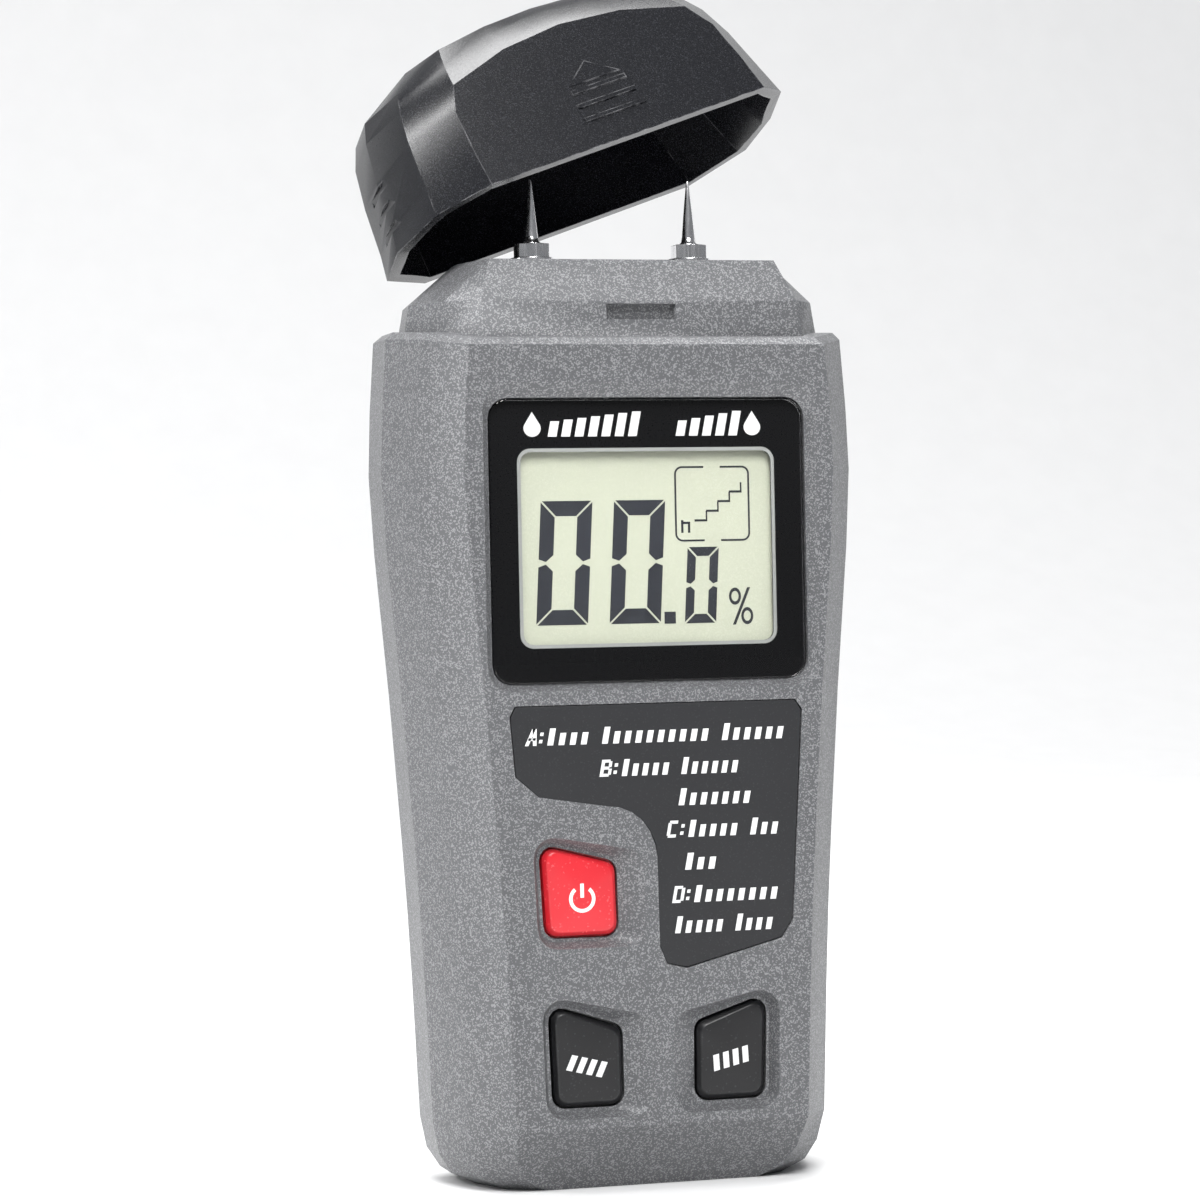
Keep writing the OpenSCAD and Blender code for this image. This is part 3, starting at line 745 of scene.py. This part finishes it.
@dataclass
class Display:
    """The lens, its printed border, the reflective panel and what it shows."""

    ink: float = 0.03 * MM
    digit_lean: float = 0.058
    segment: float = 1.9
    gap: float = 0.16
    title_top: float = 97.3 * MM
    title_height: float = 3.1
    title_block: float = 1.15
    title_pitch: float = 1.75
    title_lean: float = 0.2
    big_digits: tuple[Point, ...] = ((-14.6, 70.7), (-5.0, 70.7))
    big_size: Point = (6.75, 15.5)
    small_digit: Point = (4.95, 70.6)
    small_size: Point = (4.15, 9.6)
    frame_box: Box = (3.9, 80.9, 13.9, 90.4)
    frame_line: float = 0.24
    frame_radius: float = 1.0
    frame_gap: float = 2.2
    trim: float = 0.45
    trim_box: Box = (-16.95, 67.85, 16.95, 92.75)
    trim_radius: float = 1.75

    def build(self) -> None:
        """Builds the lens, the prints and the shown reading."""
        settle(softened("display_lens", Rounding.CRISP), CLEAR_LENS, Body.CASE, "display_lens")
        for node, finish in (("lens_mask", BLACK_PRINT), ("lcd_glass", LCD_GLASS),
                             ("lcd_holder", WHITE_PLASTIC), ("zebra_strips", SILICONE)):
            dress(node, finish)
        self.build_reading()
        self.build_title()
        self.build_window_trim()

    def digit(self, corner: Point, size: Point, stroke: float) -> list[Outline]:
        """Lays out the six outer segments of a nought.

        Args:
            corner: the digit's lower left corner in millimetres.
            size: its width and height.
            stroke: the width of a segment.

        Returns:
            Six leaning outlines in metres.
        """
        w, h, t, g = *size, stroke, self.gap
        half, k = h / 2, stroke * 0.45
        upper = [(0, h - g), (t, h - t - g), (t, half + k + g), (t * 0.5, half + g), (0, half + k * 0.4 + g)]
        top = [(g, h), (w - g, h), (w - t - g, h - t), (t + g, h - t)]
        lower = upturned(upper, h)
        shapes = [top, upturned(top, h), upper, mirrored(upper, w), lower, mirrored(lower, w)]
        origin = (corner[0] * MM, corner[1] * MM)
        return [scaled(shape, origin, MM, lean=self.digit_lean) for shape in shapes]

    def build_reading(self) -> None:
        """Lays the shown reading, its percent sign and its step chart on the panel."""
        shapes: list[Outline] = []
        for corner in self.big_digits:
            shapes += self.digit(corner, self.big_size, self.segment)
        shapes += self.digit(self.small_digit, self.small_size, 1.15)
        loose = [bar(2.25, 70.6, 1.5, 1.5)]
        x0, z0 = self.frame_box[:2]
        loose += ring_blocks(self.frame_box, self.frame_line, self.frame_radius, self.frame_gap)
        for i in range(4):
            x, z = x0 + 2.6 + 1.55 * i, z0 + 2.5 + 1.2 * i
            loose += [bar(x, z, 1.6, 0.28), bar(x + 1.5, z, 0.2, 1.3)]
        loose += [bar(x0 + 0.8, z0 + 1.1, 0.3, 1.6), bar(x0 + 1.1, z0 + 2.2, 0.9, 0.3),
                  bar(x0 + 1.7, z0 + 1.1, 0.3, 1.1)]
        for cx, cz in ((11.7, 73.9), (13.3, 71.4)):
            ring = arc_band(0.95, 0.38, 0, 360, 20)
            loose += [[(cx + u * 0.85, cz + v * 1.15) for u, v in block] for block in ring]
        loose += [[(11.35, 70.3), (11.75, 70.3), (13.75, 75.0), (13.35, 75.0)]]
        shapes += [scaled(shape, (0.0, 0.0), MM) for shape in loose]
        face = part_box("lcd_glass")[0].y
        settle(plates("display_reading", shapes, face - self.ink, face + self.ink), LCD_INK, Body.CASE)

    def build_title(self) -> None:
        """Prints a droplet and a level scale above the window."""
        drop = [(0.0, 1.0)] + [(0.36 * math.cos(a), 0.34 + 0.34 * math.sin(a))
                               for a in (math.radians(40 - 260 * i / 18) for i in range(19))]
        shapes = []
        foot = self.title_top - self.title_height * MM
        for x in (-14.9, 14.1):
            shapes.append(scaled(drop, (x * MM, foot), self.title_height * MM))
        for start, count in ((-12.9, 7), (3.9, 5)):
            for i in range(count):
                height = self.title_height * (0.62 + 0.38 * i / (count - 1))
                place = ((start + self.title_pitch * i) * MM, foot)
                shapes.append(scaled(bar(0, 0, self.title_block, height), place, MM, lean=self.title_lean))
        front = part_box("lens_mask")[0].y
        settle(plates("title_marks", shapes, front - self.ink, front + self.ink), WHITE_INK, Body.CASE)

    def build_window_trim(self) -> None:
        """Prints the thin pale line round the window."""
        low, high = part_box("lens_mask")
        ring = ring_blocks(self.trim_box, self.trim, self.trim_radius)
        outlines = [scaled(block, (0.0, 0.0), MM) for block in ring]
        trim = plates("window_trim", outlines, low.y - self.ink * 0.5, high.y + self.ink)
        settle(trim, WINDOW_TRIM, Body.CASE)


def setting_letter(letter: str) -> list[Outline]:
    """Gives the strokes of a setting letter one unit high.

    Args:
        letter: one of A, B, C and D.

    Returns:
        The strokes' outlines.
    """
    strokes = {
        "A": [[(0, 0), (0.22, 0), (0.5, 1), (0.28, 1)], [(0.5, 0), (0.72, 0), (0.55, 1), (0.3, 1)],
              bar(0.15, 0.3, 0.45, 0.16)],
        "B": [bar(0, 0, 0.2, 1), bar(0.2, 0, 0.36, 0.17), bar(0.2, 0.42, 0.32, 0.17),
              bar(0.2, 0.83, 0.32, 0.17), bar(0.5, 0.1, 0.18, 0.36), bar(0.47, 0.56, 0.18, 0.34)],
        "C": [bar(0, 0.12, 0.2, 0.76), bar(0.08, 0, 0.5, 0.18), bar(0.08, 0.82, 0.5, 0.18)],
        "D": [bar(0, 0, 0.2, 1), bar(0.2, 0, 0.32, 0.17), bar(0.2, 0.83, 0.32, 0.17),
              bar(0.48, 0.12, 0.2, 0.76)]}
    return strokes[letter]


@dataclass
class SpeciesLabel:
    """The dark film with the setting letters and their rows of marks."""

    lean: float = 0.2
    letter: float = 2.1
    tick: float = 0.52
    rows: tuple[tuple[str, float, float, float], ...] = (
        ("A", 56.9, -17.2, 17.0), ("B", 52.8, -7.6, 10.8), ("", 48.9, 2.7, 12.4), ("C", 44.9, 1.0, 16.0),
        ("", 40.8, 3.4, 7.7), ("D", 36.7, 1.6, 15.8), ("", 32.9, 1.9, 15.0))
    words: tuple[tuple[int, ...], ...] = ((4, 10, 6), (5, 6), (7,), (5, 3), (3,), (8,), (5, 4))

    def build(self) -> None:
        """Builds the film and prints its rows."""
        settle(softened("species_label", Rounding.FINE), LABEL_FILM, Body.CASE, "species_label")
        shapes: list[Outline] = []
        for (letter, height, start, end), words in zip(self.rows, self.words):
            shapes += self.row(letter, height - self.letter / 2, start, end, words)
        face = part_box("species_label")[0].y
        settle(plates("label_marks", shapes, face - 0.025 * MM, face + 0.03 * MM), WHITE_INK, Body.CASE)

    def row(self, letter: str, foot: float, start: float, end: float,
            words: tuple[int, ...]) -> list[Outline]:
        """Lays out one row: its setting letter, then blocks that stand for the names.

        Args:
            letter: the setting, or nothing.
            foot: the row's lower edge in millimetres.
            start: where the row starts.
            end: where it ends.
            words: how many blocks each name has.

        Returns:
            The row's outlines in metres.
        """
        shapes: list[Outline] = []
        at = start
        if letter:
            place = (at * MM, foot * MM)
            shapes += [scaled(s, place, self.letter * MM, lean=self.lean) for s in setting_letter(letter)]
            for dot in (0.3, 1.2):
                shapes.append(scaled(bar(1.75, dot, 0.42, 0.42), (at * MM, foot * MM), MM, lean=self.lean))
            at += 2.9
        pitch = (end - at + 0.3) / (sum(words) + 0.9 * (len(words) - 1))
        for word in words:
            for i in range(word):
                height = self.letter * (1.0 if i == 0 else 0.72)
                tick = bar(0, 0, pitch * self.tick, height)
                shapes.append(scaled(tick, (at * MM, foot * MM), MM, lean=self.lean))
                at += pitch
            at += 0.9 * pitch
        return shapes


@dataclass
class PushButton:
    """One push button with a softly crowned face and its white mark."""

    body: Body
    finish: Finish
    turn: float
    mark: Point
    lean: float = 0.18
    crown: float = 0.12 * MM
    steps: tuple[float, ...] = (0.86, 0.66, 0.44, 0.2)

    def build(self) -> None:
        """Builds the button and prints its mark."""
        node = self.body.value
        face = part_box(node)[0].y
        piece = softened(node, Rounding.BUTTON)
        self.crown_face(piece, face)
        settle(piece, self.finish, self.body, node)
        front = face - self.crown - 0.02 * MM
        shapes = self.power_mark() if self.body is Body.POWER else self.word_mark()
        settle(plates(f"{node}_mark", shapes, front, face), WHITE_INK, self.body)

    def crown_face(self, piece: bpy.types.Object, face: float) -> None:
        """Raises the middle of the front face a little.

        Args:
            piece: the button.
            face: the y of its front.
        """
        work = bmesh.new()
        work.from_mesh(piece.data)
        front = max((f for f in work.faces if all(abs(v.co.y - face) < 0.02 * MM for v in f.verts)),
                    key=lambda f: f.calc_area())
        ring = list(front.verts)
        centre = front.calc_center_median()
        bmesh.ops.delete(work, geom=[front], context="FACES_ONLY")
        last = 1.0
        for share in self.steps:
            k, y = share / last, face - self.crown * (1 - share * share)
            inner = [work.verts.new((
                centre.x + (v.co.x - centre.x) * k, y, centre.z + (v.co.z - centre.z) * k)) for v in ring]
            for i, vert in enumerate(ring):
                j = (i + 1) % len(ring)
                work.faces.new((vert, ring[j], inner[j], inner[i]))
            ring, last = inner, share
        work.faces.new(ring)
        bmesh.ops.recalc_face_normals(work, faces=work.faces)
        for f in work.faces:
            f.smooth = True
        work.to_mesh(piece.data)
        work.free()

    def power_mark(self) -> list[Outline]:
        """Gives the standby symbol: an open ring and a bar."""
        shapes = arc_band(1.72, 0.46, 128, 412) + [bar(-0.24, 0.15, 0.48, 1.75)]
        return [scaled(s, (self.mark[0] * MM, self.mark[1] * MM), MM, turn=self.turn) for s in shapes]

    def word_mark(self) -> list[Outline]:
        """Lays out a short row of leaning blocks.

        Returns:
            The blocks' outlines in metres.
        """
        shapes: list[Outline] = []
        for i in range(4):
            shapes.append(bar(-2.6 + 1.32 * i, -1.0, 0.78, 2.0))
        place = (self.mark[0] * MM, self.mark[1] * MM)
        return [scaled(s, place, MM, turn=self.turn, lean=self.lean) for s in shapes]


@dataclass
class Probe:
    """One sharpened needle and its nut."""

    side: str
    needle: float = 8.4 * MM
    shank: float = 1.2 * MM
    shoulder: float = 0.95 * MM

    def build(self) -> None:
        """Turns the needle and softens its nut."""
        node = f"{self.side}_pin"
        low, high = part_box(node)
        centre = (low + high) / 2
        base = high.z - self.needle
        profile = [(self.shank * 0.9, low.z), (self.shank, low.z + 0.2 * MM), (self.shank, base + 0.05 * MM),
                   (self.shank - 0.1 * MM, base + 0.25 * MM), (self.shoulder, base + 0.32 * MM)]
        length = high.z - base
        for t in (0.12, 0.25, 0.4, 0.55, 0.7, 0.82, 0.92, 0.97):
            profile.append((self.shoulder * (1 - t) ** 0.92 + 0.1 * MM * t, base + length * t))
        profile.append((0.05 * MM, high.z))
        settle(lathe(f"{self.side}_needle", profile, centre), NEEDLE_STEEL, Body.CASE, node)
        nut = softened(f"{node}_nut", Rounding.FINE)
        settle(nut, NEEDLE_STEEL, Body.CASE, f"{node}_nut")


@dataclass
class Cap:
    """The domed protective cap, whose gentle folds are rounded too."""

    fold: float = 19.0

    def build(self) -> None:
        """Builds the cap with soft edges."""
        settle(softened("cap", Rounding.CAP, angle=self.fold), CAP_PLASTIC, Body.CAP, "cap")


@dataclass
class Inside:
    """The parts that the case hides."""

    finishes: tuple[tuple[str, Finish], ...] = (
        ("main_board", BOARD_MASK), ("tact_switches", BLACK_MOULDING), ("circuit_parts", BLACK_MOULDING),
        ("buzzer", BLACK_MOULDING), ("board_screws", SCREW_STEEL), ("electrode_block", NYLON),
        ("pin_sockets", BRASS), ("electrode_leads", RED_WIRE), ("battery", BATTERY_CAN),
        ("battery_terminals", SCREW_STEEL), ("battery_snap", BLACK_MOULDING), ("battery_leads", RED_WIRE))

    def build(self) -> None:
        """Dresses each hidden part."""
        for node, finish in self.finishes:
            dress(node, finish)


@dataclass
class SoftLight:
    """A rectangular studio light."""

    name: str
    place: Vector
    size: Point
    power: float

    def build(self, aim: Vector) -> None:
        """Hangs the light and turns it.

        Args:
            aim: the point that it faces.
        """
        lamp = bpy.data.lights.new(self.name, "AREA")
        lamp.shape = "RECTANGLE"
        lamp.size, lamp.size_y = self.size
        lamp.energy = self.power
        holder = bpy.data.objects.new(self.name, lamp)
        holder.location = self.place
        holder.rotation_mode = "QUATERNION"
        holder.rotation_quaternion = (aim - self.place).to_track_quat("-Z", "Y")
        bpy.context.scene.collection.objects.link(holder)


@dataclass
class Studio:
    """The pale floor, the soft lights and the camera."""

    turn: float = 17.5
    roll: float = 1.15
    distance: float = 0.5
    side_shift: float = 6.75 * MM
    eye_height: float = 73.75 * MM
    lens: float = 120.0
    sensor: float = 36.0
    room_strength: float = 0.24
    sweep_start: float = 0.9
    sweep_radius: float = 0.5
    half_width: float = 3.0
    lights: tuple[SoftLight, ...] = (
        SoftLight("left_strip", Vector((-0.6, 0.0, 0.16)), (0.12, 0.4), 0.7),
        SoftLight("front_fill", Vector((-0.06, -0.4, 0.55)), (0.3, 0.3), 4.6),
        SoftLight("crown_box", Vector((-0.55, 0.0, 0.47)), (0.14, 0.14), 1.7),
        SoftLight("right_rim", Vector((0.5, 0.33, 0.2)), (0.12, 0.45), 0.15),
        SoftLight("top_box", Vector((0.0, 0.15, 0.8)), (0.4, 0.4), 0.7),
        SoftLight("backdrop_wash", Vector((0.0, 0.5, 2.0)), (2.4, 0.6), 43.0))

    def build(self) -> None:
        """Sets up the floor, the lights, the surroundings and the camera."""
        self.build_floor()
        for light in self.lights:
            light.build(Vector((0.0, 0.0, 0.07)))
        self.build_world()
        self.build_camera()

    def build_floor(self) -> None:
        """Lays a pale floor that sweeps up behind the meter."""
        work = bmesh.new()
        line = [(-4.0, 0.0), (self.sweep_start, 0.0)]
        for i in range(1, 17):
            a = math.radians(90 * i / 16)
            line.append((self.sweep_start + self.sweep_radius * math.sin(a),
                         self.sweep_radius * (1 - math.cos(a))))
        line.append((self.sweep_start + self.sweep_radius, 3.0))
        rows = [[work.verts.new((x, y, z)) for x in (-self.half_width, self.half_width)] for y, z in line]
        for low, high in zip(rows, rows[1:]):
            work.faces.new((low[0], low[1], high[1], high[0]))
        floor = add_piece("studio_floor", mesh_from("studio_floor", work))
        finish = Finish("pale_floor", "none", (0.82, 0.82, 0.82), roughness=(0.7, 0.85), unevenness=0.01)
        floor.data.materials.append(finish.material())

    def build_world(self) -> None:
        """Lights the room softly with one even, faintly blue light."""
        world = bpy.data.worlds.new("studio")
        bpy.context.scene.world = world
        world.use_nodes = True
        world.node_tree.nodes.clear()
        graph = Graph(world.node_tree)
        room = graph.add("ShaderNodeBackground", {
            "Color": (0.86, 0.88, 0.92, 1.0), "Strength": self.room_strength})
        graph.add("ShaderNodeOutputWorld", {"Surface": room.outputs[0]})

    def build_camera(self) -> None:
        """Places the camera a little to the left of the front, level with the middle."""
        turn, roll = math.radians(self.turn), math.radians(self.roll)
        ahead = Vector((math.sin(turn), math.cos(turn), 0.0))
        right = Vector((math.cos(turn), -math.sin(turn), 0.0))
        up = Vector((0.0, 0.0, 1.0))
        across = right * math.cos(roll) - up * math.sin(roll)
        upward = right * math.sin(roll) + up * math.cos(roll)
        pose = Matrix((across, upward, -ahead)).transposed().to_4x4()
        front = Vector((0.0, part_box("front_shell")[0].y, self.eye_height))
        pose.translation = front - ahead * self.distance - right * self.side_shift
        lens = bpy.data.cameras.new("studio_camera")
        lens.lens, lens.sensor_width = self.lens, self.sensor
        lens.clip_start = 0.01
        camera = bpy.data.objects.new("studio_camera", lens)
        camera.matrix_world = pose
        bpy.context.scene.collection.objects.link(camera)
        bpy.context.scene.camera = camera


def main() -> None:
    """Builds the meter piece by piece."""
    logging.basicConfig(level=logging.INFO, format="%(name)s: %(message)s")
    bpy.context.scene.view_settings.view_transform = "Standard"
    Studio().build()
    Casework().build()
    Display().build()
    SpeciesLabel().build()
    PushButton(Body.POWER, RED_RUBBER, 0.0, (-9.9, 36.6)).build()
    PushButton(Body.MODE, BLACK_RUBBER, -14.0, (-9.5, 15.7)).build()
    PushButton(Body.HOLD, BLACK_RUBBER, 13.0, (9.5, 15.8)).build()
    for side in ("left", "right"):
        Probe(side).build()
    Cap().build()
    Inside().build()
    LOG.info("size written")


if __name__ == "__main__":
    main()
